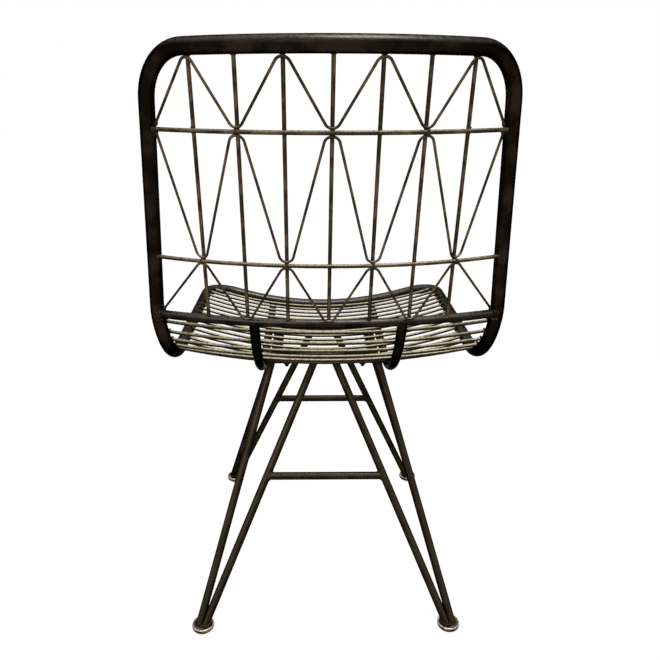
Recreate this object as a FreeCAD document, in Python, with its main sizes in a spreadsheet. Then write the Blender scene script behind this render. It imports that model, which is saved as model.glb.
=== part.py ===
import FreeCAD, Part
import Sketcher
import math
import os

from FreeCAD import Placement, Rotation, Vector

# Wire mesh chair: a bent tube frame filled with round wires, on four legs of paired rods.
# Millimetres, +Z up, the sitter faces -Y, and the floor is at Z = 0.
# The datum across the chair is where the lower back rail meets the side tubes.

DRIVING_SIZES = [
    ("frame_dia", 19.0, "outer frame tube"),
    ("lower_rail_dia", 12.0, "lower back rail"),
    ("inner_rail_dia", 14.0, "two rails under the seat wires"),
    ("top_rail_height", 856.0, "centre of the top rail"),
    ("upper_wire_drop", 85.5, "top rail down to the upper cross wire"),
    ("lower_wire_rise", 87.5, "lower back rail up to the lower cross wire"),
    ("lower_rail_rise", 89.5, "seat rails at the rear up to the lower back rail"),
    ("back_recline", 10.7, "lean of the back, degrees"),
    ("back_half_top", 208.0, "side tube from the middle, at the top rail"),
    ("back_half_low", 235.0, "side tube from the middle, at the lower rail"),
    ("top_rail_turn", 65.0, "whole bend of the top rail, degrees"),
    ("top_corner_radius", 66.0, "bend where the top rail turns down"),
    ("lower_rail_bow", 44.0, "how far the lower rail bows to the rear"),
    ("side_bend_radius", 150.0, "slight inward bend of a side tube at the lower rail"),
    ("seat_bend_radius", 93.0, "bend from the back into the seat"),
    ("seat_rear_height", 433.5, "centre of a seat rail below the back"),
    ("seat_front_height", 441.5, "centre of a seat rail at the front"),
    ("seat_half_rear", 228.0, "seat rail from the middle, at the rear"),
    ("seat_half_front", 226.0, "seat rail from the middle, at the front"),
    ("seat_depth", 414.0, "datum to the centre of the front rail"),
    ("front_corner_radius", 56.0, "bend at each front corner"),
    ("front_rail_turn", 33.5, "whole sag bend of the front rail, degrees"),
    ("seat_wire_dia", 5.0, "seat wire"),
    ("seat_wire_pitch", 19.6, "spacing of the seat wires along the rails"),
    ("seat_wire_start", 15.0, "lower rail to the first seat wire"),
    ("seat_wire_end", 26.0, "least space from the last seat wire to the front rail"),
    ("seat_wire_rise", 6.0, "seat wire ends above the middle of the rail"),
    ("upright_dia", 4.8, "upright back wire"),
    ("upright_pitch_top", 51.5, "upright spacing at the top rail"),
    ("upright_pitch_low", 53.5, "upright spacing at the lower rail"),
    ("cross_wire_dia", 5.2, "cross wire of the back"),
    ("zigzag_dia", 3.3, "zigzag wire of the back"),
    ("zigzag_bend", 9.0, "bend radius of a zigzag wire"),
    ("inner_rail_half", 99.0, "inner rail from the middle"),
    ("inner_rail_depth", 36.8, "centre of an inner rail below the seat rails"),
    ("inner_bend_radius", 185.0, "bend of an inner rail from the lower rail into the seat"),
    ("weld_gap", 0.1, "space left between welded round pieces"),
    ("strap_half", 80.0, "mounting strap from the middle"),
    ("strap_width", 18.0, "mounting strap"),
    ("strap_thickness", 4.0, "mounting strap"),
    ("bar_width", 20.0, "bars that are bolted together"),
    ("seat_bar_thickness", 5.0, "flat bars under the straps"),
    ("base_bar_thickness", 10.0, "bars that carry the leg rods"),
    ("rear_bar_set", 154.0, "datum forward to the rear bars"),
    ("front_bar_set", 298.0, "datum forward to the front bars"),
    ("seat_bar_half", 89.0, "half length of a bar under the straps"),
    ("base_bar_half", 98.0, "half length of a bar on the legs"),
    ("bolt_half", 64.0, "mounting bolt from the middle"),
    ("bolt_dia", 6.0, "mounting bolt"),
    ("bolt_hole_dia", 6.6, "hole for a mounting bolt"),
    ("bolt_head_flats", 10.0, "head and nut across flats"),
    ("bolt_head_height", 4.0, "bolt head"),
    ("bolt_end", 4.0, "thread left below the nut"),
    ("nut_height", 5.0, "nut"),
    ("rod_dia", 12.7, "leg rod and brace"),
    ("rod_spacing", 9.6, "between the centres of the two rods of a leg, at the foot"),
    ("rear_outer_half", 89.0, "rear outer rod from the middle, at the bar"),
    ("rear_inner_half", 17.0, "rear inner rod from the middle, at the bar"),
    ("front_outer_half", 80.0, "front outer rod from the middle, at the bar"),
    ("front_inner_half", 21.0, "front inner rod from the middle, at the bar"),
    ("rear_foot_half", 197.5, "rear foot from the middle"),
    ("front_foot_half", 191.0, "front foot from the middle"),
    ("rear_foot_set", -37.5, "datum forward to the rear feet"),
    ("front_foot_set", 385.0, "datum forward to the front feet"),
    ("rear_brace_height", 215.0, "centre of the brace between the rear inner rods"),
    ("front_brace_height", 225.0, "centre of the brace between the front inner rods"),
    ("foot_dia", 35.0, "foot"),
    ("foot_height", 10.0, "foot"),
    ("foot_under_round", 6.0, "rounding under a foot"),
    ("foot_rim_round", 2.5, "rounding of the upper rim of a foot"),
]

UPRIGHTS_EACH_SIDE = 3
SHARPENING_PASSES = 4
LEAST_STRAIGHT = 1.0
LEAST_BETWEEN_BENDS = 0.2
SEAT_BEND_SHARE = 0.87
HALF_TURN = 180.0
BLOCK_WIDTH = 80.0
FLAT = 0.001
UP = Vector(0, 0, 1)
ACROSS = Vector(1, 0, 0)

doc = FreeCAD.newDocument("wire_mesh_chair")
sheet = doc.addObject("Spreadsheet::Sheet", "sizes")
for row, (alias, value, note) in enumerate(DRIVING_SIZES, start=1):
    sheet.set(f"A{row}", alias)
    sheet.set(f"B{row}", str(value))
    sheet.set(f"C{row}", note)
    sheet.setAlias(f"B{row}", alias)
doc.recompute()

nodes = []


def size(alias):
    return float(sheet.get(alias))


def radius(alias):
    return size(alias) / 2


def mirrored(point):
    return Vector(-point.x, point.y, point.z)


def mix(first, second, share):
    return first + (second - first) * share


def keep(node):
    nodes.append(node)
    return node


# Round pieces

def bend_arc(before, corner, after, bend_radius):
    """Start, middle and end of the arc that rounds a corner."""
    back = (before - corner).normalize()
    ahead = (after - corner).normalize()
    half = back.getAngle(ahead) / 2
    reach = bend_radius / math.tan(half)
    inward = (back + ahead).normalize()
    middle = corner + inward * (bend_radius / math.sin(half) - bend_radius)
    return corner + back * reach, middle, corner + ahead * reach


def bent_line(points, bend_radii):
    """Straight runs joined by arcs, one arc at each inner point."""
    edges = []
    here = points[0]
    for index, bend_radius in enumerate(bend_radii, start=1):
        start, middle, end = bend_arc(points[index - 1], points[index], points[index + 1], bend_radius)
        edges.append(Part.LineSegment(here, start).toShape())
        edges.append(Part.Arc(start, middle, end).toShape())
        here = end
    edges.append(Part.LineSegment(here, points[-1]).toShape())
    return Part.Wire(edges)


def bent_ring(points, bend_radii):
    """A closed line of straight runs and arcs, one arc at each point."""
    count = len(points)
    arcs = []
    for index, bend_radius in enumerate(bend_radii):
        arcs.append(bend_arc(points[index - 1], points[index], points[(index + 1) % count], bend_radius))
    edges = []
    for index, (start, middle, end) in enumerate(arcs):
        edges.append(Part.LineSegment(arcs[index - 1][2], start).toShape())
        edges.append(Part.Arc(start, middle, end).toShape())
    return Part.Wire(edges)


def tube(label, line, diameter):
    """A round bar or tube swept along a line."""
    spine = doc.addObject("Part::Feature", "line")
    spine.Label = f"line of {label}"
    spine.Shape = line
    first = line.Edges[0]
    start = first.firstVertex(True).Point
    heading = first.tangentAt(first.FirstParameter)
    section = doc.addObject("Part::Circle", "section")
    section.Label = f"section of {label}"
    section.setExpression("Radius", f"sizes.{diameter} / 2")
    section.Placement = Placement(start, Rotation(UP, heading))
    sweep = doc.addObject("Part::Sweep", "tube")
    sweep.Label = label
    sweep.Sections = [section]
    sweep.Spine = (spine, [])
    sweep.Solid = True
    return sweep


def straight(label, start, end, diameter):
    """A straight round bar between two points."""
    bar = doc.addObject("Part::Cylinder", "bar")
    bar.Label = label
    bar.setExpression("Radius", f"sizes.{diameter} / 2")
    bar.Height = (end - start).Length
    bar.Placement = Placement(start, Rotation(UP, end - start))
    return bar


def trimmed(label, piece, cutter):
    """A piece with its ends shaped to sit on what it is welded to."""
    piece.Label = f"{label} before trimming"
    cut = doc.addObject("Part::Cut", "trimmed")
    cut.Label = label
    cut.Base = piece
    cut.Tool = cutter
    return cut


def joined(label, pieces):
    """Separate pieces kept as one node."""
    group = doc.addObject("Part::Compound", "group")
    group.Label = label
    group.Links = pieces
    return group


# Places of the frame

recline = math.radians(size("back_recline"))
recline_slope = math.tan(recline)
top_turn = math.radians(size("top_rail_turn")) / 2
front_turn = math.radians(size("front_rail_turn")) / 2
frame_radius = radius("frame_dia")
lower_rail_height = size("seat_rear_height") + size("lower_rail_rise")
lower_wire_height = lower_rail_height + size("lower_wire_rise")
upper_wire_height = size("top_rail_height") - size("upper_wire_drop")
back_rise = size("top_rail_height") - lower_rail_height
back_run = back_rise * recline_slope


def corner_reach(bend_radius, first, corner, second):
    """Distance from a corner to where its bend starts."""
    opening = (first - corner).getAngle(second - corner)
    return bend_radius / math.tan(opening / 2)


# Seen from the side, the back line and the seat line meet in one corner.
seat_rise = size("seat_front_height") - size("seat_rear_height")
seat_slope = seat_rise / size("seat_depth")
bend_set = size("lower_rail_rise") * recline_slope / (1 + seat_slope * recline_slope)
bend_height = size("seat_rear_height") + seat_slope * bend_set

# The top rail is drawn about the datum first, to find how far the chair reaches to the rear.
top_peak = Vector(0, back_run + size("back_half_top") * math.tan(top_turn), size("top_rail_height"))
top_corner = Vector(size("back_half_top"), back_run, size("top_rail_height"))
back_low = Vector(size("back_half_low"), 0, lower_rail_height)
top_reach = corner_reach(size("top_corner_radius"), top_peak, top_corner, back_low)
top_rail_radius = ((top_peak - top_corner).Length - top_reach) / math.tan(top_turn)
top_apex = top_peak.y - top_rail_radius * (1 / math.cos(top_turn) - 1)
rear_reach = top_apex + frame_radius
front_reach = size("seat_depth") + frame_radius
datum = (front_reach - rear_reach) / 2


def forward(distance):
    """Y of a place that far in front of the datum."""
    return datum - distance


for point in (top_peak, top_corner, back_low):
    point.y += datum
top_apex += datum

seat_corner = Vector(size("seat_half_rear"), forward(bend_set), bend_height)
front_corner = Vector(size("seat_half_front"), forward(size("seat_depth")), size("seat_front_height"))
front_low = Vector(0, front_corner.y, front_corner.z - front_corner.x * math.tan(front_turn))
front_corner_reach = corner_reach(size("front_corner_radius"), front_low, front_corner, seat_corner)
front_rail_radius = ((front_low - front_corner).Length - front_corner_reach) / math.tan(front_turn)


def fitted_bend(bend_radius, first, corner, second, room):
    """A bend radius, limited by the length of tube that the bend has to each side."""
    opening = (first - corner).getAngle(second - corner)
    return min(bend_radius, room * math.tan(opening / 2))


# Between the lower rail and the seat a side tube has two bends, which share the length between them.
side_run = (back_low - seat_corner).Length
seat_room = side_run * SEAT_BEND_SHARE
seat_bend = fitted_bend(size("seat_bend_radius"), back_low, seat_corner, front_corner, seat_room)
seat_bend_reach = corner_reach(seat_bend, back_low, seat_corner, front_corner)
side_room = side_run - seat_bend_reach - LEAST_BETWEEN_BENDS
side_bend = fitted_bend(size("side_bend_radius"), top_corner, back_low, seat_corner, side_room)


def side_tube(height):
    """Centre of the side tube at a height between the lower rail and the top rail."""
    return mix(back_low, top_corner, (height - back_low.z) / back_rise)


# Seat line seen from the side: back line, bend, seat line

back_way = Vector(0, back_low.y - seat_corner.y, back_low.z - seat_corner.z).normalize()
seat_way = Vector(0, front_corner.y - seat_corner.y, front_corner.z - seat_corner.z).normalize()
bend_opening = back_way.getAngle(seat_way)
bend_reach = seat_bend / math.tan(bend_opening / 2)
bend_length = seat_bend * (math.pi - bend_opening)
side_corner = Vector(0, seat_corner.y, seat_corner.z)
bend_start = side_corner + back_way * bend_reach
bend_end = side_corner + seat_way * bend_reach
bend_centre = side_corner + (back_way + seat_way).normalize() * (seat_bend / math.sin(bend_opening / 2))
back_length = (Vector(0, back_low.y, back_low.z) - bend_start).Length
seat_length = (Vector(0, front_corner.y, front_corner.z) - bend_end).Length


def outward(way):
    """The direction square to the seat line, away from the sitter."""
    return Vector(0, -way.z, way.y)


def seat_station(distance):
    """Place on the seat line, the direction away from the sitter and the half width there."""
    if distance < back_length:
        place = bend_start + back_way * (back_length - distance)
        return place, outward(back_way * -1), side_half(place.z)
    if distance < back_length + bend_length:
        share = (distance - back_length) / bend_length
        spoke = (bend_start - bend_centre).normalize()
        spoke = Rotation(ACROSS, (math.degrees(bend_opening) - HALF_TURN) * share).multVec(spoke)
        half = side_half(bend_start.z) * (1 - share) + seat_half(bend_end.y) * share
        return bend_centre + spoke * seat_bend, spoke, half
    place = bend_end + seat_way * (distance - back_length - bend_length)
    return place, outward(seat_way), seat_half(place.y)


def side_half(height):
    """Half width between the side tubes, from the lower rail down to the seat bend."""
    return mix(back_low, seat_corner, (back_low.z - height) / (back_low.z - seat_corner.z)).x


def seat_half(place_y):
    """Half width between the seat rails, without the rounded front corners."""
    share = (seat_corner.y - place_y) / (seat_corner.y - front_corner.y)
    return mix(seat_corner, front_corner, share).x


def rounded_half(place, half):
    """Half width between the rail centres, with the rounded front corners."""
    bend = size("front_corner_radius")
    past = front_corner.y + bend - place.y
    if past <= 0:
        return half
    return half - bend + math.sqrt(bend ** 2 - past ** 2)


def wire_bow(half, rail_depth):
    """Centre setting and radius of a wire that ends on the side rails and rests on the inner ones."""
    rest_gap = radius("seat_wire_dia") + radius("inner_rail_dia") + size("weld_gap")
    rest = rail_depth - rest_gap + size("seat_wire_rise")
    setting = (half ** 2 - size("inner_rail_half") ** 2 - rest ** 2) / (2 * rest)
    return setting, math.hypot(half, setting)


def hang(half, rail_depth, across, clear=0.0):
    """How far a seat wire, or what touches its outer side, lies outward of the rail centres."""
    setting, bow = wire_bow(half, rail_depth)
    return math.sqrt((bow + clear) ** 2 - across ** 2) - setting - size("seat_wire_rise")


# Outer frame

def outer_frame():
    """One tube bent into a closed ring: top rail, sides, seat rails and front rail."""
    right = [top_corner, back_low, seat_corner, front_corner]
    left = [mirrored(point) for point in reversed(right)]
    points = [top_peak] + right + [front_low] + left
    bends = [size("top_corner_radius"), side_bend, seat_bend, size("front_corner_radius")]
    top_bend = top_rail_radius - LEAST_STRAIGHT / math.tan(top_turn)
    front_bend = front_rail_radius - LEAST_STRAIGHT / math.tan(front_turn)
    radii = [top_bend] + bends + [front_bend] + bends[::-1]
    return tube("frame_tube", bent_ring(points, radii), "frame_dia")


frame = keep(outer_frame())


# Lower back rail and the wires of the back

lower_rail_radius = (back_low.x ** 2 + size("lower_rail_bow") ** 2) / (2 * size("lower_rail_bow"))


def bow_y(across, apex, bow_radius):
    """Y of an arc across the chair that bows to the rear."""
    return apex - bow_radius + math.sqrt(bow_radius ** 2 - across ** 2)


def top_point(across):
    return Vector(across, bow_y(across, top_apex, top_rail_radius), size("top_rail_height"))


def low_point(across):
    apex = back_low.y + size("lower_rail_bow")
    return Vector(across, bow_y(across, apex, lower_rail_radius), lower_rail_height)


def upright_line(index):
    """Lower and upper end of the centre line of an upright, counted from the middle."""
    low = low_point(index * size("upright_pitch_low"))
    top = top_point(index * size("upright_pitch_top"))
    return low, top


def upright_at(index, height):
    low, top = upright_line(index)
    return mix(low, top, (height - low.z) / (top.z - low.z))


def three_point_arc(start, middle, end):
    return Part.Wire([Part.Arc(start, middle, end).toShape()])


lower_line = three_point_arc(mirrored(back_low), low_point(0), back_low)
lower_rail_bar = tube("lower_rail", lower_line, "lower_rail_dia")


def back_normal(index, height):
    """Direction to the rear, square to the bowed back at an upright."""
    beside = upright_at(index + 1, height) - upright_at(index - 1, height)
    low, top = upright_line(index)
    return (top - low).cross(beside).normalize()


def behind_upright(index, height, diameter):
    """Centre of a wire welded on the rear of an upright."""
    offset = radius("upright_dia") + radius(diameter) + size("weld_gap")
    return upright_at(index, height) + back_normal(index, height) * offset


def cross_wire(label, height):
    """A cross wire touches the middle and the outer uprights and ends on the side tubes."""
    middle = behind_upright(0, height, "cross_wire_dia")
    outer = behind_upright(UPRIGHTS_EACH_SIDE, height, "cross_wire_dia")
    drop = middle.y - outer.y
    bow_radius = (outer.x ** 2 + drop ** 2) / (2 * drop)
    half = side_tube(height).x
    end = Vector(half, bow_y(half, middle.y, bow_radius), middle.z)
    line = three_point_arc(mirrored(end), middle, end)
    return trimmed(label, tube(label, line, "cross_wire_dia"), frame)


def upright(index):
    """An upright runs from the lower rail to the underside of the top rail."""
    low, top = upright_line(index)
    way = (top - low).normalize()
    start = low + way * (radius("lower_rail_dia") + size("weld_gap"))
    end = top - way * (frame_radius + size("weld_gap"))
    number = index + UPRIGHTS_EACH_SIDE + 1
    return straight(f"back_upright_{number}", start, end, "upright_dia")


def seat_over(rail_radius, rail_offset):
    """Height of a zigzag bend that rests on a round piece, above that piece's centre."""
    touching = rail_radius + radius("zigzag_dia") + size("weld_gap")
    return math.sqrt(touching ** 2 - rail_offset ** 2)


def sharpened(points):
    """Move each inner corner away along its upright, so that its rounded bend reaches its place."""
    moved = list(points)
    for _ in range(SHARPENING_PASSES):
        for index in range(1, len(points) - 1):
            _, middle, _ = bend_arc(moved[index - 1], moved[index], moved[index + 1], size("zigzag_bend"))
            low, top = upright_line(index - 1 - UPRIGHTS_EACH_SIDE)
            short = (points[index].z - middle.z) / (top.z - low.z)
            moved[index] = moved[index] + (top - low) * short
    return moved


def zigzag(label, low_seat, high_seat, odd_peaks):
    """A zigzag wire behind the uprights, bent at each of them and welded to both side tubes."""
    points = []
    for index in range(-UPRIGHTS_EACH_SIDE, UPRIGHTS_EACH_SIDE + 1):
        is_odd = (index + UPRIGHTS_EACH_SIDE) % 2 == 0
        height = high_seat if is_odd == odd_peaks else low_seat
        points.append(behind_upright(index, height, "zigzag_dia"))
    weld = side_tube(low_seat if odd_peaks else high_seat) - ACROSS * frame_radius
    end = weld + (weld - points[-1]).normalize() * frame_radius
    points = [mirrored(end)] + points + [end]
    line = bent_line(sharpened(points), [size("zigzag_bend")] * (len(points) - 2))
    return trimmed(label, tube(label, line, "zigzag_dia"), frame)


keep(trimmed("lower_rail", lower_rail_bar, frame))
for number in range(-UPRIGHTS_EACH_SIDE, UPRIGHTS_EACH_SIDE + 1):
    keep(upright(number))
keep(cross_wire("upper_cross_wire", upper_wire_height))
keep(cross_wire("lower_cross_wire", lower_wire_height))

layer_step = radius("cross_wire_dia") - radius("zigzag_dia")
over_wire = seat_over(radius("cross_wire_dia"), layer_step)
rail_offset = radius("upright_dia") + radius("zigzag_dia") + size("weld_gap")
over_lower_rail = seat_over(radius("lower_rail_dia"), rail_offset)
under_top_rail = seat_over(frame_radius, rail_offset)
zigzag_rows = [
    ("upper_zigzag", upper_wire_height + over_wire, size("top_rail_height") - under_top_rail, True),
    ("middle_zigzag", lower_wire_height + over_wire, upper_wire_height - over_wire, False),
    ("lower_zigzag", lower_rail_height + over_lower_rail, lower_wire_height - over_wire, True),
]
for row in zigzag_rows:
    keep(zigzag(*row))


# Line of the inner rails, seen from the side: one wide bend from the lower rail, then straight

seat_outward = outward(seat_way)
inner_top = low_point(size("inner_rail_half"))
inner_top.x = 0
inner_front = Vector(0, front_corner.y, front_corner.z) + seat_outward * size("inner_rail_depth")
inner_radius = size("inner_bend_radius")
inner_drop = (inner_front - inner_top).dot(seat_outward)
inner_run = math.sqrt(inner_drop * (2 * inner_radius - inner_drop))
inner_end = inner_top + seat_outward * inner_drop + seat_way * inner_run
inner_centre = inner_end - seat_outward * inner_radius
inner_middle = inner_centre + ((inner_top + inner_end) / 2 - inner_centre).normalize() * inner_radius


def rail_depth_at(place, away):
    """Distance from the seat line to the centre of the inner rails."""
    from_centre = place - inner_centre
    if from_centre.dot(seat_way) > 0:
        return size("inner_rail_depth")
    along = from_centre.dot(away)
    return math.sqrt(along ** 2 - from_centre.Length ** 2 + inner_radius ** 2) - along


# Seat wires

def seat_wire(label, distance):
    """A seat wire hangs from rail to rail and is cut where it enters the outer frame."""
    place, away, half = seat_station(distance)
    depth = rail_depth_at(place, away)
    end_half = rounded_half(place, half)
    end = place + ACROSS * end_half + away * hang(half, depth, end_half)
    middle = place + away * hang(half, depth, 0)
    line = three_point_arc(mirrored(end), middle, end)
    return trimmed(label, tube(label, line, "seat_wire_dia"), frame)


line_length = back_length + bend_length + seat_length
wire_span = line_length - size("seat_wire_start") - size("seat_wire_end")
wire_count = int(wire_span // size("seat_wire_pitch")) + 1
bend_wires = []
flat_wires = 0
for step in range(wire_count):
    distance = size("seat_wire_start") + step * size("seat_wire_pitch")
    if distance < back_length + bend_length:
        bend_wires.append(seat_wire(f"seat bend wire {step + 1}", distance))
    else:
        flat_wires += 1
        keep(seat_wire(f"seat_wire_{flat_wires:02d}", distance))
keep(joined("seat_bend_wires", bend_wires))


# Inner rails under the seat wires

def inner_rail(label, side):
    """From under the lower rail, round its bend and forward to the front rail."""
    across = ACROSS * side * size("inner_rail_half")
    places = (inner_top, inner_middle, inner_end, inner_front)
    top, middle, end, front = [place + across for place in places]
    line = Part.Wire([Part.Arc(top, middle, end).toShape(), Part.LineSegment(end, front).toShape()])
    rail_bar = tube(label, line, "inner_rail_dia")
    below_rail = trimmed(label, rail_bar, lower_rail_bar)
    return trimmed(label, below_rail, frame)


keep(inner_rail("inner_rail_left", 1))
keep(inner_rail("inner_rail_right", -1))


# Mounting straps and the bars that are bolted together

def flat_bar(label, length, width, height, corner):
    """A flat bar with the tilt of the seat, given the expressions of its three sizes."""
    bar = doc.addObject("Part::Box", "bar")
    bar.Label = label
    bar.setExpression("Length", length)
    bar.setExpression("Width", width)
    bar.setExpression("Height", height)
    bar.Placement = Placement(corner, seat_tilt)
    return bar


seat_tilt = Rotation(ACROSS, -math.degrees(math.atan(seat_slope)))
seat_up = seat_tilt.multVec(UP)
strap_inner = size("strap_half") - size("strap_width") / 2


def below_wires(set_forward, depth):
    """Place in the middle of the chair, that far in front of the datum and below the rail line."""
    rail_line = size("seat_rear_height") + seat_slope * set_forward
    return Vector(0, forward(set_forward), rail_line) - seat_up * depth


def between_wires(set_forward):
    """The nearest place midway between two seat wires, where a bolt head has room."""
    along = back_length + bend_length + (bend_end.y - forward(set_forward)) / -seat_way.y
    pitch = size("seat_wire_pitch")
    midway = (math.floor((along - size("seat_wire_start")) / pitch) + 1 / 2) * pitch
    return set_forward - (along - size("seat_wire_start") - midway) * -seat_way.y


front_half = seat_half(forward(size("front_bar_set")))
wire_clear = radius("seat_wire_dia") + size("weld_gap")
wire_underside = hang(front_half, size("inner_rail_depth"), strap_inner, wire_clear)
strap_depth = wire_underside + size("strap_thickness")
seat_bar_depth = strap_depth + size("seat_bar_thickness")
base_bar_depth = seat_bar_depth + size("base_bar_thickness")
bar_sets = {"rear": between_wires(size("rear_bar_set")), "front": between_wires(size("front_bar_set"))}


def strap(label, left_edge):
    """A flat strap fore and aft, with one edge against the seat wires from below."""
    start = below_wires(bar_sets["front"] + size("bar_width") / 2, strap_depth)
    start.x = left_edge
    length = f"{bar_sets['front'] - bar_sets['rear']} + sizes.bar_width"
    return flat_bar(label, "sizes.strap_width", length, "sizes.strap_thickness", start)


def bolt_places(set_forward, depth):
    middle = below_wires(set_forward, depth)
    return [middle - ACROSS * size("bolt_half"), middle + ACROSS * size("bolt_half")]


def drilled_bar(label, layer, set_forward, depth):
    """A bar across the chair with two bolt holes."""
    corner = below_wires(set_forward + size("bar_width") / 2, depth)
    corner.x = -size(f"{layer}_half")
    thickness = f"sizes.{layer}_thickness"
    blank = flat_bar(label, f"2 * sizes.{layer}_half", "sizes.bar_width", thickness, corner)
    holes = []
    for place in bolt_places(set_forward, depth):
        hole = doc.addObject("Part::Cylinder", "hole")
        hole.setExpression("Radius", "sizes.bolt_hole_dia / 2")
        hole.setExpression("Height", thickness)
        hole.Placement = Placement(place, seat_tilt)
        holes.append(hole)
    return trimmed(label, blank, joined(f"holes of {label}", holes))


def hexagon(height, place):
    """A six-sided bolt head or nut."""
    prism = doc.addObject("Part::Prism", "hexagon")
    prism.Polygon = 6
    prism.setExpression("Circumradius", "sizes.bolt_head_flats / sqrt(3)")
    prism.setExpression("Height", height)
    prism.Placement = Placement(place, seat_tilt)
    return prism


def bolt(set_forward, place_index):
    """Head on the seat bar, shank through both bars."""
    head_place = bolt_places(set_forward, strap_depth)[place_index]
    head = hexagon("sizes.bolt_head_height", head_place)
    grip = size("seat_bar_thickness") + size("base_bar_thickness")
    length = grip + size("nut_height") + size("bolt_end")
    shank = doc.addObject("Part::Cylinder", "shank")
    shank.setExpression("Radius", "sizes.bolt_dia / 2")
    shank.setExpression("Height", f"{grip} + sizes.nut_height + sizes.bolt_end")
    shank.Placement = Placement(head_place - seat_up * length, seat_tilt)
    whole = doc.addObject("Part::Fuse", "bolt")
    whole.Base = head
    whole.Tool = shank
    return whole


def nut(set_forward, place_index):
    """Under the base bar, with a bore for the bolt."""
    place = bolt_places(set_forward, base_bar_depth)[place_index] - seat_up * size("nut_height")
    body = hexagon("sizes.nut_height", place)
    bore = doc.addObject("Part::Cylinder", "bore")
    bore.setExpression("Radius", "sizes.bolt_dia / 2")
    bore.setExpression("Height", "sizes.nut_height")
    bore.Placement = Placement(place, seat_tilt)
    whole = doc.addObject("Part::Cut", "nut")
    whole.Base = body
    whole.Tool = bore
    return whole


keep(strap("mount_strap_left", strap_inner))
keep(strap("mount_strap_right", -strap_inner - size("strap_width")))
for end_name, bar_set in bar_sets.items():
    keep(drilled_bar(f"seat_bar_{end_name}", "seat_bar", bar_set, seat_bar_depth))
    keep(drilled_bar(f"base_bar_{end_name}", "base_bar", bar_set, base_bar_depth))
keep(joined("mount_bolts", [bolt(bar_set, side) for bar_set in bar_sets.values() for side in (0, 1)]))
keep(joined("mount_nuts", [nut(bar_set, side) for bar_set in bar_sets.values() for side in (0, 1)]))


# Legs: two rods each, meeting at a foot

foot_top = size("foot_height")


def rod_line(end_name, which, side):
    """Centre line of a leg rod, from the top of its foot to the underside of its bar."""
    beside = size("rod_spacing") / 2 if which == "outer" else -size("rod_spacing") / 2
    foot_half = size(f"{end_name}_foot_half") + beside
    low = Vector(side * foot_half, forward(size(f"{end_name}_foot_set")), foot_top)
    high = below_wires(bar_sets[end_name], base_bar_depth)
    high.x = side * size(f"{end_name}_{which}_half")
    return low, high


def block_above(label, place, turn, thickness):
    """A wide block on a place, used to cut a rod end square to its seat."""
    block = doc.addObject("Part::Box", "block")
    block.Label = label
    block.Length = BLOCK_WIDTH
    block.Width = BLOCK_WIDTH
    block.Height = thickness
    middle = turn.multVec(Vector(BLOCK_WIDTH / 2, BLOCK_WIDTH / 2, 0))
    block.Placement = Placement(place - middle, turn)
    return block


def rod(label, end_name, which, side, beside):
    """A leg rod, cut flat at the foot and at the bar and shaped to the rod beside it."""
    low, high = rod_line(end_name, which, side)
    way = (high - low).normalize()
    spare = size("rod_dia")
    bar = straight(label, low - way * spare, high + way * spare, "rod_dia")
    foot_block = block_above(f"foot of {label}", low - UP * spare * 2, Rotation(), spare * 2)
    bar_block = block_above(f"bar of {label}", high, seat_tilt, spare * 2)
    return trimmed(label, bar, joined(f"seats of {label}", [foot_block, bar_block] + beside))


def brace(end_name):
    """A round bar between the two inner rods of one end, shaped to sit on both."""
    ends = []
    for side in (-1, 1):
        low, high = rod_line(end_name, "inner", side)
        ends.append(mix(low, high, (size(f"{end_name}_brace_height") - low.z) / (high.z - low.z)))
    label = f"{end_name}_brace"
    bar = straight(label, ends[0], ends[1], "rod_dia")
    return trimmed(label, bar, joined(f"rods beside {label}", inner_rods[end_name]))


def foot(label, place):
    """A round foot with a flat sole, a deep rounding underneath and a softened rim."""
    body = doc.addObject("PartDesign::Body", "foot")
    body.Label = label
    plane = [item for item in body.Origin.OriginFeatures if item.Role == "XY_Plane"][0]
    sketch = body.newObject("Sketcher::SketchObject", "outline")
    sketch.AttachmentSupport = [(plane, "")]
    sketch.MapMode = "FlatFace"
    sketch.addGeometry(Part.Circle(Vector(), UP, foot_radius), False)
    sketch.addConstraint(Sketcher.Constraint("Coincident", 0, 3, -1, 1))
    sketch.addConstraint(Sketcher.Constraint("Radius", 0, foot_radius))
    sketch.setExpression("Constraints[1]", "sizes.foot_dia / 2")
    pad = body.newObject("PartDesign::Pad", "pad")
    pad.Profile = sketch
    pad.setExpression("Length", "sizes.foot_height")
    doc.recompute()
    rounded = pad
    for at_height, amount in ((0, "foot_under_round"), (size("foot_height"), "foot_rim_round")):
        edge = circle_edge(rounded.Shape, at_height)
        fillet = body.newObject("PartDesign::Fillet", amount)
        fillet.Base = (rounded, [edge])
        fillet.setExpression("Radius", f"sizes.{amount}")
        doc.recompute()
        rounded = fillet
    body.Placement = Placement(place, Rotation())
    return body


def circle_edge(shape, height):
    """Name of the round edge at that height."""
    for index, edge in enumerate(shape.Edges, start=1):
        flat = edge.BoundBox.ZLength < FLAT
        if flat and abs(edge.BoundBox.ZMin - height) < FLAT:
            return f"Edge{index}"
    raise ValueError(f"no round edge at {height}")


foot_radius = radius("foot_dia")
side_names = {1: "left", -1: "right"}
inner_rods = {}
for end_name in bar_sets:
    inner_rods[end_name] = []
    for side, side_name in side_names.items():
        outer = keep(rod(f"{end_name}_outer_rod_{side_name}", end_name, "outer", side, []))
        inner = keep(rod(f"{end_name}_inner_rod_{side_name}", end_name, "inner", side, [outer]))
        inner_rods[end_name].append(inner)
        foot_place = Vector(side * size(f"{end_name}_foot_half"), forward(size(f"{end_name}_foot_set")), 0)
        keep(foot(f"{end_name}_foot_{side_name}", foot_place))
    keep(brace(end_name))


# Check and write

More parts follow.
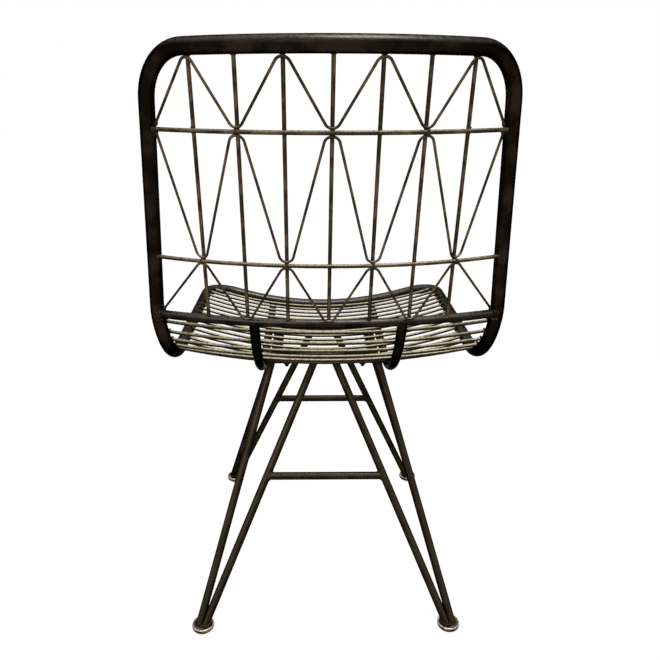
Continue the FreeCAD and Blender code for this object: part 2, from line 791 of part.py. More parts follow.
doc.recompute()
for item in doc.Objects:
    if "Invalid" in item.State or "Error" in item.State:
        raise RuntimeError(f"{item.Label} failed")
os.makedirs("parts", exist_ok=True)
for node in nodes:
    if node.Shape.isNull() or not node.Shape.isValid():
        raise RuntimeError(f"{node.Label} has no valid shape")
    node.Shape.exportStep(f"parts/{node.Label}.step")
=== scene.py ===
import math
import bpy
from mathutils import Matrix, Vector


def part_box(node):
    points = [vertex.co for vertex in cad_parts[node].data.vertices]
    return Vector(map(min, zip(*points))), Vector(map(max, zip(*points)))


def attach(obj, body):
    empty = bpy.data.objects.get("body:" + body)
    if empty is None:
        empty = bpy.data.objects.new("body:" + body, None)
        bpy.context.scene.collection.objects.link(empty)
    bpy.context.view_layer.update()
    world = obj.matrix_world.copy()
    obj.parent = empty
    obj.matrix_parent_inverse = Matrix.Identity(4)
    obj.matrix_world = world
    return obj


bl_info = {
    "name": "Wire Mesh Chair",
    "version": (1, 0, 0),
    "blender": (4, 5, 0),
    "location": "View3D > Sidebar > Chair",
    "description": "Finishes and welds of a wire mesh chair, and the stage it is shown on",
    "category": "Object",
}

import bmesh
import bpy
from bpy.props import FloatProperty, FloatVectorProperty, IntProperty, PointerProperty
from mathutils import Matrix, Vector, noise
from mathutils.bvhtree import BVHTree

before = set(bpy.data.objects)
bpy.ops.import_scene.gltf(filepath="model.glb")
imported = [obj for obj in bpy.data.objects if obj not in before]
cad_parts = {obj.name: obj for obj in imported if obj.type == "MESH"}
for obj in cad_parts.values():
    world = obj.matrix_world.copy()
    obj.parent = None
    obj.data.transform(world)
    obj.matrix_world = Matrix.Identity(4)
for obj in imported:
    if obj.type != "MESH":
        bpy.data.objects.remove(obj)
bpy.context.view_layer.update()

BODY = "root"
UP = Vector((0, 0, 1))

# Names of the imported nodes

ENDS = ["rear", "front"]
SIDES = ["left", "right"]
UPRIGHTS = [f"back_upright_{number}" for number in range(1, 8)]
CROSS_WIRES = ["upper_cross_wire", "lower_cross_wire"]
ZIGZAGS = ["upper_zigzag", "middle_zigzag", "lower_zigzag"]
SEAT_WIRES = sorted(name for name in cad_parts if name.startswith("seat_wire_"))
INNER_RAILS = [f"inner_rail_{side}" for side in SIDES]
STRAPS = [f"mount_strap_{side}" for side in SIDES]
FLAT_BARS = [f"{layer}_bar_{end}" for layer in ("seat", "base") for end in ENDS]
INNER_RODS = [f"{end}_inner_rod_{side}" for end in ENDS for side in SIDES]
OUTER_RODS = [f"{end}_outer_rod_{side}" for end in ENDS for side in SIDES]
BRACES = ["rear_brace", "front_brace"]
FEET = [f"{end}_foot_{side}" for end in ENDS for side in SIDES]

# One way and the other, which for x is the sitter's right and left
SIGNS = (-1, 1)

# Levels of noise, from 0 to 1, between which an effect goes from none to full
PATCH_NOISE = (0.42, 0.62)
SCUFF_NOISE = (0.34, 0.58)
SHEEN_NOISE = (0.35, 0.65)

# How far a face looks up, with 1 for straight up, between which it gets the painted highlight or
# counts as level
HIGHLIGHT_FACING = (0.15, 0.95)
LEVEL_FACING = (0.90, 0.99)

# Noise: scuffs to a patch, pits to a metre, the depth of a pit in metres, and levels of detail
SCUFFS_TO_PATCH = 7
PIT_SCALE = 1100.0
PIT_DEPTH = 0.0004
PATCH_DETAIL = 5.0
SCUFF_DETAIL = 4.0
PIT_DETAIL = 2.0

# How far the roughness goes below and above its mean
SMOOTHER = 0.08
ROUGHER = 0.10

# How deep the end of a wire, a rail and a bolt is, and which corners of a mesh are one, in metres
TIP_DEPTH = 0.003
RAIL_END_DEPTH = 0.004
BOLT_END_DEPTH = 0.0006
SAME_PLACE = 0.00001

# A bar whose way rises less than this is level
LEVEL_RISE = 0.01

# Places that are tried along a line when it is searched for a touch
TOUCH_STEPS = 400

# Lumps of the weld metal: lumps to a radius, and how fast they change from weld to weld
LUMPS_TO_RADIUS = 1.6
LUMP_CHANGE = 300

# Weld beads: how far each way a drop looks for metal, in metres, and the drops round a bar
BEAD_REACH = 0.03
BEAD_FLATNESS = 0.85
WIRE_BEAD_DROPS = 7
ROD_BEAD_DROPS = 16
BRACE_BEAD_DROPS = 18

# Welds of the back, in metres: out from an upright's side, and above and below a crossing
NODE_WELD_OUT = 0.002
CROSSING_WELD_RISE = 0.0028

# The part of an upright that holds a zigzag's bend, and the weld's place from upright to bend
BEND_PART = 0.2
BEND_WELD_PLACE = 0.9

# Welds of the seat, in metres: search to each side of an inner rail, and out from the touch
REST_SEARCH = 0.02
REST_WELD_OUT = 0.0022

# Slopes of the ends that are welded, as a share of their main direction
SEAT_TIP_RISE = 0.3
RAIL_END_SWEEP = 0.37
INNER_RAIL_LEAN = 0.12

# Bolt thread: radii in metres, half the foot of its ridge in pitches, and steps to a turn
THREAD_ROOT = 0.0029
THREAD_CREST = 0.0033
THREAD_FLANK = 0.28
THREAD_STEPS = 16

# The share of the bolt end that is threaded, and the share of the turns before the run-out
THREAD_SHARE = 0.8
THREAD_RUN_OUT = 0.9

# Stage: half the floor's width and the place the lamps aim at, in metres, and the film in mm
FLOOR_REACH = 12
LAMP_AIM = Vector((0, 0, 0.5))
FILM_WIDTH = 36


# Settings


def colour(name, description, default):
    """A colour that the user can change."""
    return FloatVectorProperty(
        name=name, description=description, default=default, size=3, min=0, max=1, subtype="COLOR"
    )


def length(name, description, default):
    """A length in metres that the user can change."""
    return FloatProperty(
        name=name, description=description, default=default, min=0,
        subtype="DISTANCE", unit="LENGTH",
    )


def place(name, description, default):
    """A place in metres that the user can change."""
    return FloatVectorProperty(
        name=name, description=description, default=default, size=3, subtype="XYZ", unit="LENGTH"
    )


def turn(name, description, degrees):
    """An angle that the user can change."""
    return FloatProperty(
        name=name, description=description, default=math.radians(degrees), unit="ROTATION"
    )


def power(name, description, default):
    """The power of a lamp, in watts, that the user can change."""
    return FloatProperty(
        name=name, description=description, default=default, min=0, unit="POWER"
    )


def share(name, description, default):
    """A number from 0 to 1 that the user can change."""
    return FloatProperty(
        name=name, description=description, default=default, min=0, max=1, subtype="FACTOR"
    )


def strength(name, description, default):
    """The strength of a light, with 1 for white, that the user can change."""
    return FloatProperty(name=name, description=description, default=default, min=0, unit="NONE")


class ChairFinish(bpy.types.PropertyGroup):
    """Colours of the metal"""

    iron: colour("Iron", "Blackened iron of the tubes", (0.0060, 0.0048, 0.0035))
    iron_patch: colour("Iron patches", "Brown cast in the blackening", (0.0210, 0.0140, 0.0088))
    # Painted highlight: the colour that the upper side of the tubes, flat bars, straps and bolts is
    # painted towards
    iron_painted_highlight: colour("Iron highlight", "Upper side of the tubes", (0.115, 0.106, 0.090))
    leg: colour("Leg iron", "Blackened iron of the leg rods", (0.0105, 0.0090, 0.0055))
    leg_patch: colour("Leg patches", "Olive cast of the leg rods", (0.0220, 0.0180, 0.0100))
    # Painted highlight: the colour that the upper side of the leg rods and braces is painted
    # towards
    leg_painted_highlight: colour("Leg iron highlight", "Upper side of the leg rods", (0.084, 0.069, 0.044))
    back_wire: colour("Back wire", "Dark parts of the back wires", (0.0330, 0.0235, 0.0140))
    # Brass cast in patches on the back wires, and also the painted highlight on the upper side of
    # the welds
    back_brass_and_weld_highlight: colour("Back wire brass and weld highlight", "Brass cast of the wires", (0.1000, 0.0720, 0.0410))
    seat_wire: colour("Seat wire", "Underside of the seat wires", (0.0160, 0.0130, 0.0090))
    # Painted highlight: the pale colour that the top of the seat wires and of the back wires is
    # painted towards
    wire_painted_highlight: colour("Wire highlight", "Top of the seat wires", (0.480, 0.420, 0.290))
    weld: colour("Weld", "Grey of the welds", (0.024, 0.021, 0.017))
    weld_brass: colour("Weld brass", "Brass cast on the welds", (0.070, 0.047, 0.024))
    bronze: colour("Bronze", "Feet", (0.150, 0.105, 0.072))
    # Painted highlight: the pale colour that the rounded rim of the feet is painted towards
    bronze_rim_highlight: colour("Bronze rim highlight", "Painted highlight on the rim of the feet", (0.640, 0.570, 0.450))
    bronze_dark: colour("Dark bronze", "Patches on the feet", (0.040, 0.027, 0.018))
    tube_roughness: share("Tube roughness", "Roughness of the tubes", 0.30)
    wire_roughness: share("Wire roughness", "Roughness of the wires", 0.42)


class ChairWelds(bpy.types.PropertyGroup):
    """Sizes of the welds and the threads"""

    node_width: length("Node weld", "Weld where a zigzag and a cross wire meet", 0.0075)
    crossing_width: length("Crossing weld", "Weld where an upright crosses a wire", 0.0042)
    tip_width: length("Tip weld", "Weld at the end of a back wire", 0.0075)
    seat_tip_width: length("Seat tip weld", "Weld at the end of a seat wire", 0.0080)
    rest_width: length("Rest weld", "Weld of a seat wire on an inner rail", 0.0060)
    bead_width: length("Bead", "Weld bead round a rod or rail", 0.0038)
    wire_bead_width: length("Wire bead", "Weld bead round an upright", 0.0022)
    unevenness: share("Unevenness", "How lumpy the welds are", 0.18)
    thread_turns: IntProperty(
        name="Thread turns", description="Turns of thread below a nut", default=3, min=1
    )


class ChairStage(bpy.types.PropertyGroup):
    """Floor, light and camera"""

    floor_colour: colour("Floor", "Colour of the floor", (0.90, 0.90, 0.90))
    floor_white: share("Floor white", "How far the seen floor goes to white", 0.86)
    floor_glow: strength("Floor glow", "Strength of that white, so that it meets the sky", 1.08)
    sky_level: strength("Sky level", "Light from all sides", 0.60)
    key_power: power("Key power", "Power of the lamp above", 22.0)
    key_place: place("Key place", "Where the lamp above hangs", (-0.4, 0.6, 2.7))
    key_width: length("Key width", "Width of the lamp above", 1.0)
    fill_power: power("Fill power", "Power of the lamp behind the camera", 9.0)
    fill_place: place("Fill place", "Where the lamp behind the camera hangs", (0.9, 2.2, 1.7))
    fill_width: length("Fill width", "Width of the lamp behind the camera", 0.8)
    camera_place: place(
        "Camera place", "Where the photograph was taken from", (0.0242966, 0.97714, 0.8132333)
    )
    camera_pitch: turn("Pitch", "Down from level", 20.570)
    camera_yaw: turn("Yaw", "Turn from facing the front", 0.7636)
    camera_roll: turn("Roll", "Tilt of the camera", 0.1407)
    camera_lens: FloatProperty(
        name="Lens", description="Focal length", default=35.005, min=1, unit="CAMERA"
    )
    camera_shift: FloatVectorProperty(
        name="Shift", description="Lens shift that frames the photograph",
        default=(0.01775, -0.0002), size=2,
    )


# Materials


def empty_tree(owner):
    """The node tree of a new material or world, with no nodes in it."""
    owner.use_nodes = True
    owner.node_tree.nodes.clear()
    return owner.node_tree


def feed(tree, socket, value):
    """Give a socket its value, or the output that it reads."""
    if isinstance(value, bpy.types.NodeSocket):
        tree.links.new(value, socket)
    else:
        socket.default_value = value


def add_node(tree, kind, **inputs):
    """Add a shader node, with an underscore for each space in the name of an input."""
    made = tree.nodes.new(kind)
    for name, value in inputs.items():
        feed(tree, made.inputs[name.replace("_", " ")], value)
    return made


def combined(tree, operation, first, second, clamp=False):
    """Combine two numbers, each a value or an output."""
    made = tree.nodes.new("ShaderNodeMath")
    made.operation = operation
    made.use_clamp = clamp
    feed(tree, made.inputs[0], first)
    feed(tree, made.inputs[1], second)
    return made.outputs[0]


def spots(tree, coords, scale, detail):
    """Noise of 0 to 1."""
    made = add_node(tree, "ShaderNodeTexNoise", Vector=coords, Scale=scale, Detail=detail)
    return made.outputs["Fac"]


def spread(tree, value, levels, at_low, at_high):
    """Go softly from one number to another while a value passes between two levels."""
    made = add_node(
        tree, "ShaderNodeMapRange",
        Value=value, From_Min=levels[0], From_Max=levels[1], To_Min=at_low, To_Max=at_high,
    )
    made.interpolation_type = "SMOOTHSTEP"
    return made.outputs["Result"]


def blended(tree, amount, first, second):
    """Mix two colours, each a value or an output."""
    made = tree.nodes.new("ShaderNodeMix")
    made.data_type = "RGBA"
    feed(tree, made.inputs["Factor"], amount)
    for socket, value in ((made.inputs[6], first), (made.inputs[7], second)):
        feed(tree, socket, value if isinstance(value, bpy.types.NodeSocket) else (*value, 1))
    return made.outputs[2]


def aged_metal(
    name, dark, patch, painted_highlight, highlight_amount, roughness,
    patch_scale=26.0, edge=0.2, grain=0.12, least_highlight_amount=0.45, level_highlight_amount=1.0,
):
    """Blackened metal with a coloured cast in patches, and its upper side painted lighter as a
    painted highlight.

    The highlight amount is how far faces that look up are painted towards the highlight colour, the
    least highlight amount the share of it in the thinnest spots of the scuff noise, and the level
    highlight amount the share of it on level faces. edge tints the reflection at a glancing angle,
    and grain is the strength of the pits.
    """
    material = bpy.data.materials.new(name)
    tree = empty_tree(material)
    source = tree.nodes.new("ShaderNodeTexCoord")
    coords = source.outputs["Object"]
    patches = spots(tree, coords, patch_scale, PATCH_DETAIL)
    scuffs = spots(tree, coords, patch_scale * SCUFFS_TO_PATCH, SCUFF_DETAIL)
    pits = spots(tree, coords, PIT_SCALE, PIT_DETAIL)
    facing = add_node(tree, "ShaderNodeSeparateXYZ", Vector=source.outputs["Normal"])
    # Painted highlight: faces that look up are painted towards the highlight colour, as if lit from
    # above, broken up by the scuff noise and weaker on level faces
    upward = spread(tree, facing.outputs["Z"], HIGHLIGHT_FACING, 0.0, highlight_amount)
    level = spread(tree, facing.outputs["Z"], LEVEL_FACING, 1.0, level_highlight_amount)
    highlight_breakup = spread(tree, scuffs, SCUFF_NOISE, least_highlight_amount, 1.0)
    painted_highlight_share = combined(tree, "MULTIPLY", upward, combined(tree, "MULTIPLY", level, highlight_breakup))
    base = blended(tree, spread(tree, patches, PATCH_NOISE, 0.0, 1.0), dark, patch)
    bump = add_node(tree, "ShaderNodeBump", Height=pits, Strength=grain, Distance=PIT_DEPTH)
    shader = add_node(
        tree, "ShaderNodeBsdfPrincipled",
        Base_Color=blended(tree, painted_highlight_share, base, painted_highlight),
        Metallic=1.0,
        Specular_Tint=(edge, edge, edge, 1),
        Roughness=spread(tree, scuffs, SHEEN_NOISE, roughness - SMOOTHER, roughness + ROUGHER),
        Normal=bump.outputs["Normal"],
    )
    add_node(tree, "ShaderNodeOutputMaterial", Surface=shader.outputs["BSDF"])
    return material


def dress(names, material):
    """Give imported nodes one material."""
    for name in names:
        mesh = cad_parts[name].data
        mesh.materials.clear()
        mesh.materials.append(material)


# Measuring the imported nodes


def places_of(name):
    """All the corners of a node."""
    return [vertex.co.copy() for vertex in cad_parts[name].data.vertices]


def surface_of(name):
    """A node's surface, for finding the nearest place on it and for casting rays."""
    shape = bmesh.new()
    shape.from_mesh(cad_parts[name].data)
    surface = BVHTree.FromBMesh(shape)
    shape.free()
    return surface


def middle_of(places):
    """The mean of some places."""
    return sum(places, Vector()) / len(places)


def middle_x(box):
    """The x of a box's middle."""
    low, high = box
    return (low + high).x / 2


def round_bar(name):
    """Ends of the centre line of a straight round bar, and its radius."""
    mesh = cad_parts[name].data
    places = places_of(name)
    runs = [places[edge.vertices[0]] - places[edge.vertices[1]] for edge in mesh.edges]
    way = max(runs, key=lambda run: run.length).normalized()
    if way.z < 0 or (abs(way.z) < LEVEL_RISE and way.x < 0):
        way.negate()
    aside = way.orthogonal().normalized()
    beside = way.cross(aside)
    centre = Vector()
    widths = []
    for axis in (aside, beside):
        reach = [corner.dot(axis) for corner in places]
        widths.append(max(reach) - min(reach))
        centre += axis * (min(reach) + max(reach)) / 2
    along = [corner.dot(way) for corner in places]
    return centre + way * min(along), centre + way * max(along), max(widths) / 2


def nearest_touch(start, end, surface):
    """Place on a line that is nearest to a surface, and the surface place there."""
    best = None
    for step in range(TOUCH_STEPS + 1):
        on_line = start.lerp(end, step / TOUCH_STEPS)
        on_surface, _, _, gap = surface.find_nearest(on_line)
        if best is None or gap < best[2]:
            best = (on_line, on_surface, gap)
    return best[0], best[1]


def tip_of(places, side):
    """Middle of the end that reaches furthest to one side."""
    furthest = max(corner.x * side for corner in places)
    return middle_of([corner for corner in places if corner.x * side > furthest - TIP_DEPTH])


def islands(name):
    """The separate solids of a node, each as a list of its corners."""
    shape = bmesh.new()
    shape.from_mesh(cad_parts[name].data)
    bmesh.ops.remove_doubles(shape, verts=shape.verts, dist=SAME_PLACE)
    reached = set()
    found = []
    for first in shape.verts:
        if first in reached:
            continue
        reached.add(first)
        waiting = [first]
        island = []
        while waiting:
            vertex = waiting.pop()
            island.append(vertex.co.copy())
            for edge in vertex.link_edges:
                other = edge.other_vert(vertex)
                if other not in reached:
                    reached.add(other)
                    waiting.append(other)
        found.append(island)
    shape.free()
    return found


# Making the welds


def add_blob(shape, centre, across, spin_to=UP, flatness=1.0, fineness=2):
    """Add a lumpy drop of weld metal, flattened along the way that it faces."""
    unevenness = bpy.context.scene.chair_welds.unevenness
    facing = spin_to.to_track_quat("Z", "Y").to_matrix().to_4x4()
    stretch = Matrix.Diagonal((1, 1, flatness, 1))
    made = bmesh.ops.create_icosphere(shape, subdivisions=fineness, radius=across / 2)
    for vertex in made["verts"]:
        seed = vertex.co.normalized() * LUMPS_TO_RADIUS + centre * LUMP_CHANGE
        vertex.co *= 1 + unevenness * noise.noise(seed)
    matrix = Matrix.Translation(centre) @ facing @ stretch
    bmesh.ops.transform(shape, matrix=matrix, verts=made["verts"])


def add_bead(shape, start, way, radius, surface, width, count):
    """Add a weld bead round a bar, where lines along its side meet a surface."""
    aside = way.orthogonal().normalized()
    beside = way.cross(aside)
    for step in range(count):
        angle = 2 * math.pi * step / count
        edge = start + (aside * math.cos(angle) + beside * math.sin(angle)) * radius
        found, _, _, _ = surface.ray_cast(edge - way * BEAD_REACH, way, 2 * BEAD_REACH)
        if found is not None:
            add_blob(shape, found, width, way, flatness=BEAD_FLATNESS)


def finish_piece(shape, name, material):
    """Turn a bmesh into a smooth shaded piece that rides on the chair."""
    mesh = bpy.data.meshes.new(name)
    shape.to_mesh(mesh)
    shape.free()
    mesh.polygons.foreach_set("use_smooth", [True] * len(mesh.polygons))
    mesh.materials.append(material)
    piece = bpy.data.objects.new(name, mesh)
    bpy.context.scene.collection.objects.link(piece)
    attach(piece, BODY)


def weld_metal():
    """The one material of all the welds."""
    made = bpy.data.materials.get("weld_metal")
    if made is None:
        finish = bpy.context.scene.chair_finish
        # The welds get brass patches, and their upper side is painted towards the brass colour as a
        # painted highlight
        made = aged_metal(
            "weld_metal", finish.weld, finish.weld_brass, finish.back_brass_and_weld_highlight,
            highlight_amount=0.5, roughness=0.34, patch_scale=90.0, grain=0.3,
        )
    return made


# Operators


class CHAIR_OT_finish_frame(bpy.types.Operator):
    """Give the frame tube, the lower rail and the inner rails their blackened finish"""

    bl_idname = "chair.finish_frame"
    bl_label = "Finish the frame"

    def execute(self, context):
        finish = context.scene.chair_finish
        # Blackened iron, with the upper side painted towards the iron highlight colour as a painted
        # highlight
        iron = aged_metal(
            "blackened_iron", finish.iron, finish.iron_patch, finish.iron_painted_highlight,
            highlight_amount=0.9, roughness=finish.tube_roughness, least_highlight_amount=0.75,
        )
        dress(["frame_tube", "lower_rail"] + INNER_RAILS, iron)
        return {"FINISHED"}


class CHAIR_OT_finish_back_wires(bpy.types.Operator):
    """Give the uprights, cross wires and zigzags their bronze finish, with brass patches and a pale
    painted highlight on the upper side
    """

    bl_idname = "chair.finish_back_wires"
    bl_label = "Finish the back wires"

    def execute(self, context):
        finish = context.scene.chair_finish
        bronze = aged_metal(
            "back_bronze_with_highlight", finish.back_wire, finish.back_brass_and_weld_highlight, finish.wire_painted_highlight,
            highlight_amount=0.95, roughness=finish.wire_roughness, patch_scale=45.0,
        )
        dress(UPRIGHTS + CROSS_WIRES + ZIGZAGS, bronze)
        return {"FINISHED"}


class CHAIR_OT_finish_seat_wires(bpy.types.Operator):
    """Give the seat wires a pale painted highlight on top and a dark underside"""

    bl_idname = "chair.finish_seat_wires"
    bl_label = "Finish the seat wires"

    def execute(self, context):
        finish = context.scene.chair_finish
        bronze = aged_metal(
            "seat_bronze_with_highlight", finish.seat_wire, finish.back_wire, finish.wire_painted_highlight,
            highlight_amount=1.0, roughness=finish.wire_roughness, patch_scale=40.0,
        )
        dress(SEAT_WIRES + ["seat_bend_wires"], bronze)
        return {"FINISHED"}


class CHAIR_OT_finish_legs(bpy.types.Operator):
    """Give the leg rods, braces, bars, straps and bolts their blackened finish"""

    bl_idname = "chair.finish_legs"
    bl_label = "Finish the legs"

    def execute(self, context):
        finish = context.scene.chair_finish
        # Each of these finishes paints the upper side lighter as a painted highlight
        iron = aged_metal(
            "blackened_leg_iron", finish.leg, finish.leg_patch, finish.leg_painted_highlight,
            highlight_amount=0.75, roughness=finish.tube_roughness, patch_scale=32.0, least_highlight_amount=0.75,
        )
        dress(INNER_RODS + OUTER_RODS + BRACES, iron)
        flat = aged_metal(
            "blackened_flat_iron", finish.iron, finish.iron_patch, finish.iron_painted_highlight,
            highlight_amount=0.6, roughness=0.5, patch_scale=60.0, grain=0.25,
        )
        dress(FLAT_BARS + STRAPS, flat)
        steel = aged_metal(
            "blackened_bolt_steel", finish.iron, finish.leg_patch, finish.iron_painted_highlight,
            highlight_amount=0.5, roughness=0.3, patch_scale=120.0, edge=0.6,
        )
        dress(["mount_bolts", "mount_nuts"], steel)
        return {"FINISHED"}


class CHAIR_OT_finish_feet(bpy.types.Operator):
    """Give the feet their polished bronze finish, with a pale painted highlight on the rim"""

    bl_idname = "chair.finish_feet"
    bl_label = "Finish the feet"

    def execute(self, context):
        finish = context.scene.chair_finish
        # Level faces keep a fifth of the painted highlight, so that it lies on the rounded rim
        bronze = aged_metal(
            "polished_foot_bronze", finish.bronze_dark, finish.bronze, finish.bronze_rim_highlight,
            highlight_amount=1.0, roughness=0.20, patch_scale=30.0, edge=0.5, grain=0.1, level_highlight_amount=0.2,
        )
        dress(FEET, bronze)
        return {"FINISHED"}


class CHAIR_OT_weld_back(bpy.types.Operator):
    """Add the welds where the back wires meet each other, the rail and the frame tube"""

    bl_idname = "chair.weld_back"
    bl_label = "Weld the back"

    def execute(self, context):
        welds = context.scene.chair_welds
        wires = {name: surface_of(name) for name in CROSS_WIRES + ZIGZAGS}
        tube = surface_of("frame_tube")
        rail = surface_of("lower_rail")
        shape = bmesh.new()
        for number, name in enumerate(UPRIGHTS, 1):
            low, high, radius = round_bar(name)
            way = (high - low).normalized()
            add_bead(shape, low, -way, radius, rail, welds.wire_bead_width, WIRE_BEAD_DROPS)
            add_bead(shape, high, way, radius, tube, welds.wire_bead_width, WIRE_BEAD_DROPS)
            # A zigzag bends at the lower cross wire on odd uprights, at the upper one on even ones
            is_odd = number % 2 == 1
            for wire_name in CROSS_WIRES:
                on_line, on_wire = nearest_touch(low, high, wires[wire_name])
                rearward = (on_wire - on_line).normalized()
                if is_odd == (wire_name == "lower_cross_wire"):
                    centre = on_line + rearward * (radius + NODE_WELD_OUT)
                    add_blob(shape, centre, welds.node_width, rearward, flatness=0.9, fineness=3)
                else:
                    for sign in SIGNS:
                        centre = on_wire + way * sign * CROSSING_WELD_RISE
                        add_blob(shape, centre, welds.crossing_width, rearward, flatness=0.8)
            if is_odd:
                bend, end, inward = wires["upper_zigzag"], high, low.lerp(high, 1 - BEND_PART)
            else:
                bend, end, inward = wires["lower_zigzag"], low, low.lerp(high, BEND_PART)
            on_line, on_wire = nearest_touch(end, inward, bend)
            centre = on_line.lerp(on_wire, BEND_WELD_PLACE)
            add_blob(shape, centre, welds.crossing_width, UP, flatness=1.1)
        for name in CROSS_WIRES + ZIGZAGS:
            for side in SIGNS:
                tip = tip_of(places_of(name), side)
                outward = Vector((side, 0, 0))
                add_blob(shape, tip, welds.tip_width, outward, flatness=0.7, fineness=3)
        finish_piece(shape, "back_welds", weld_metal())
        return {"FINISHED"}


class CHAIR_OT_weld_seat(bpy.types.Operator):
    """Add the welds of the seat wires on the frame tube and on the inner rails"""

    bl_idname = "chair.weld_seat"
    bl_label = "Weld the seat"

    def execute(self, context):
        welds = context.scene.chair_welds
        wires = [places_of(name) for name in SEAT_WIRES] + islands("seat_bend_wires")
        rails = (
            (-1, surface_of("inner_rail_right"), middle_x(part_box("inner_rail_right"))),
            (1, surface_of("inner_rail_left"), middle_x(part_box("inner_rail_left"))),
        )
        tips = bmesh.new()
        rests = bmesh.new()
        for wire in wires:
            for side, rail, rail_x in rails:
                outward = Vector((side, 0, SEAT_TIP_RISE))
                tip = tip_of(wire, side)
                add_blob(tips, tip, welds.seat_tip_width, outward, flatness=0.6)
                near = [corner for corner in wire if abs(corner.x - rail_x) < REST_SEARCH]
                if near:
                    centre = middle_of(near)
                    start = Vector((min(corner.x for corner in near), centre.y, centre.z))
                    end = Vector((max(corner.x for corner in near), centre.y, centre.z))
                    _, on_rail = nearest_touch(start, end, rail)
                    for sign in SIGNS:
                        centre = on_rail + Vector((0, sign * REST_WELD_OUT, 0))
                        add_blob(rests, centre, welds.rest_width, UP, flatness=0.55)
        finish_piece(tips, "seat_tip_welds", weld_metal())
        finish_piece(
            rests, "seat_rest_welds", bpy.data.materials["blackened_iron"]
        )
        return {"FINISHED"}


class CHAIR_OT_weld_rails(bpy.types.Operator):
    """Add the weld beads at the ends of the lower rail and the inner rails"""

    bl_idname = "chair.weld_rails"
    bl_label = "Weld the rails"

    def execute(self, context):
        width = context.scene.chair_welds.bead_width
        tube = surface_of("frame_tube")
        lower = surface_of("lower_rail")
        beads = bmesh.new()
        low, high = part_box("lower_rail")
        radius = (high.z - low.z) / 2
        for side in SIGNS:
            tip = tip_of(places_of("lower_rail"), side)
            outward = Vector((side, -RAIL_END_SWEEP, 0)).normalized()
            add_bead(beads, tip, outward, radius, tube, width, ROD_BEAD_DROPS)
        for name in INNER_RAILS:
            places = places_of(name)
            across = [corner.x for corner in places]
            radius = (max(across) - min(across)) / 2
            top = max(corner.z for corner in places)
            upper_end = middle_of([co for co in places if co.z > top - RAIL_END_DEPTH])
            upward = Vector((0, INNER_RAIL_LEAN, 1)).normalized()
            add_bead(beads, upper_end, upward, radius, lower, width, ROD_BEAD_DROPS)
            front = min(corner.y for corner in places)
            front_end = middle_of([co for co in places if co.y < front + RAIL_END_DEPTH])
            add_bead(beads, front_end, Vector((0, -1, 0)), radius, tube, width, ROD_BEAD_DROPS)
        finish_piece(beads, "rail_welds", weld_metal())
        return {"FINISHED"}


class CHAIR_OT_weld_legs(bpy.types.Operator):
    """Add the weld beads of the leg rods on the bars and feet, and of the braces on the rods"""

    bl_idname = "chair.weld_legs"
    bl_label = "Weld the legs"

    def execute(self, context):
        width = context.scene.chair_welds.bead_width
        beads = bmesh.new()
        for end in ENDS:
            bar = surface_of(f"base_bar_{end}")
            for side in SIDES:
                foot = surface_of(f"{end}_foot_{side}")
                for which in ("inner", "outer"):
                    low, high, radius = round_bar(f"{end}_{which}_rod_{side}")
                    way = (high - low).normalized()
                    add_bead(beads, high, way, radius, bar, width, ROD_BEAD_DROPS)
                    add_bead(beads, low, -way, radius, foot, width, ROD_BEAD_DROPS)
            right_end, left_end, radius = round_bar(f"{end}_brace")
            way = (left_end - right_end).normalized()
            for tip, outward, side in ((right_end, -way, "right"), (left_end, way, "left")):
                rod = surface_of(f"{end}_inner_rod_{side}")
                add_bead(beads, tip, outward, radius, rod, width, BRACE_BEAD_DROPS)
        finish_piece(beads, "leg_welds", weld_metal())
        return {"FINISHED"}


class CHAIR_OT_cut_threads(bpy.types.Operator):
    """Add the thread that shows on each bolt below its nut"""

    bl_idname = "chair.cut_threads"
    bl_label = "Cut the threads"

    def execute(self, context):
        turns = context.scene.chair_welds.thread_turns
        thread = bmesh.new()
        bolts = islands("mount_bolts")
        for nut in islands("mount_nuts"):
            nut_middle = middle_of(nut)
            bolt = min(bolts, key=lambda places: (middle_of(places).xy - nut_middle.xy).length)
            lowest = min(corner.z for corner in bolt)
            end = middle_of([corner for corner in bolt if corner.z < lowest + BOLT_END_DEPTH])
            way = (nut_middle - end).normalized()
            run = (min(corner.z for corner in nut) - end.z) * THREAD_SHARE
            pitch = run / turns
            aside = way.orthogonal().normalized()
            # The ridge is a bent line of three corners, spun up the bolt as a helix
            ridge = [(THREAD_ROOT, -THREAD_FLANK), (THREAD_CREST, 0.0), (THREAD_ROOT, THREAD_FLANK)]
            corners = [
                thread.verts.new(end + aside * out + way * (pitch * up + pitch / 2))
                for out, up in ridge
            ]
            edges = [thread.edges.new(pair) for pair in zip(corners, corners[1:])]
            bmesh.ops.spin(
                thread, geom=corners + edges, cent=end, axis=way,
                dvec=way * (pitch / THREAD_STEPS),
                angle=math.radians(360) * turns * THREAD_RUN_OUT,
                steps=int(THREAD_STEPS * turns * THREAD_RUN_OUT),
                use_merge=False,
            )
        bmesh.ops.recalc_face_normals(thread, faces=thread.faces)
        finish_piece(
            thread, "bolt_threads", bpy.data.materials["blackened_bolt_steel"]
        )
        return {"FINISHED"}


